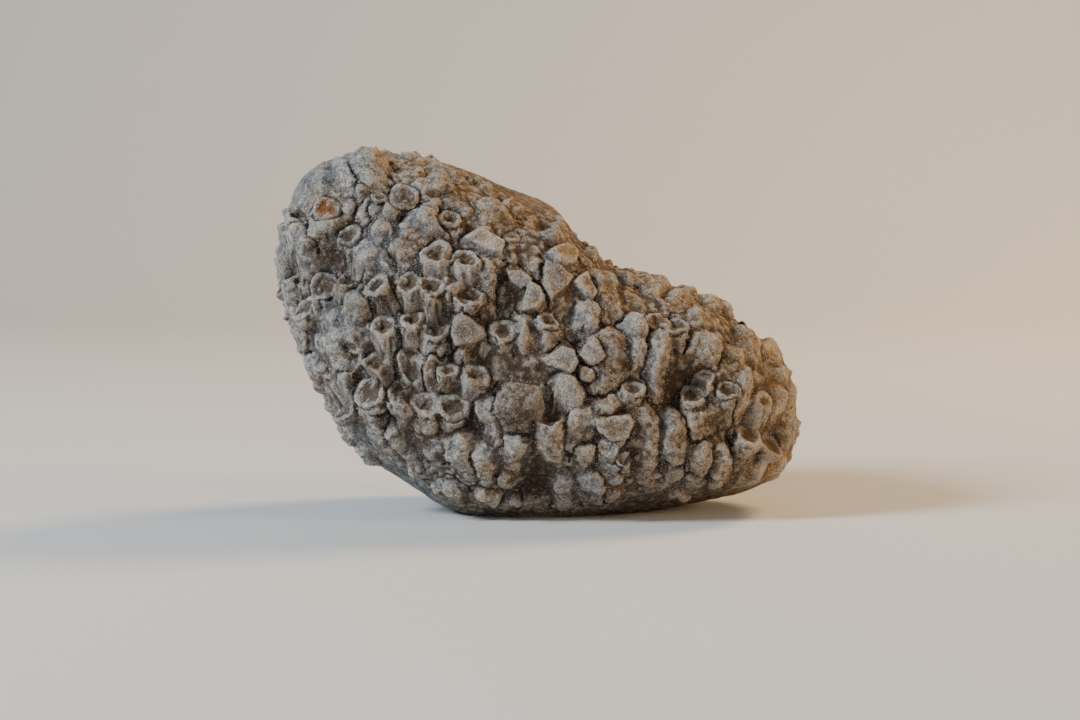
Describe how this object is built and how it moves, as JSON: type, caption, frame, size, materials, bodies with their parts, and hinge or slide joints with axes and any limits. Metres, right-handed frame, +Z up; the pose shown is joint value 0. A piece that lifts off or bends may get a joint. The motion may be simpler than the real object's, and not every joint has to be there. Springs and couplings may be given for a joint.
{
  "type": "fossil coral head",
  "caption": "Worn lump of fossil coral, high at one end and low at the other, packed all over with stubby tubes and open cups, resting on a flat broken base.",
  "frame": {"origin": "on the flat broken base that the head rests on, under its middle", "axes": "+X along the head towards its low end, +Z up, -Y towards the side with the best-preserved cups"},
  "size_m": [0.1333, 0.0784, 0.0905],
  "materials": {
    "coral_stone": "dry, grainy grey-brown limestone, ochre-stained on top and at the low end"
  },
  "bodies": {
    "root": {"coral_head": "coral_stone"}
  },
  "joints": []
}
